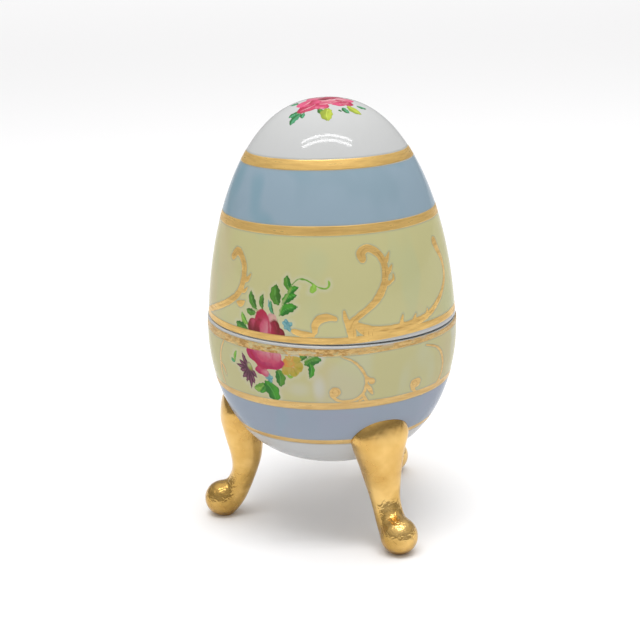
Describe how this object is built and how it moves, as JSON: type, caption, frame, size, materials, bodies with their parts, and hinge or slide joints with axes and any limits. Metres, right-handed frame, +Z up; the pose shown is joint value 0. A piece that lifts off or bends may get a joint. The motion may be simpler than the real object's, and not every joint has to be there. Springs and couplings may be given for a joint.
{
  "type": "egg trinket box",
  "caption": "Hollow porcelain egg box with a lift-off upper shell, painted bands and roses, standing on gilt cabriole legs.",
  "frame": {"origin": "on the table, under the middle of the whole box's width and depth; the egg's axis stands 1.7 mm from it in +X because one leg reaches past the egg in -X", "axes": "+Z up along the egg's axis, -Y the side that carries the large rose spray, -X towards the leg that stands alone on that side"},
  "size_m": [0.0684, 0.065, 0.1119],
  "materials": {
    "lid_porcelain": "glossy white glaze with blue and cream lustre bands, gilt lines and scrolls, and painted roses",
    "base_porcelain": "glossy white glaze with cream and lavender-blue bands, gilt lines and scrolls, and burnished gold legs"
  },
  "bodies": {
    "root": {"lid": "lid_porcelain", "base": "base_porcelain"}
  },
  "joints": []
}
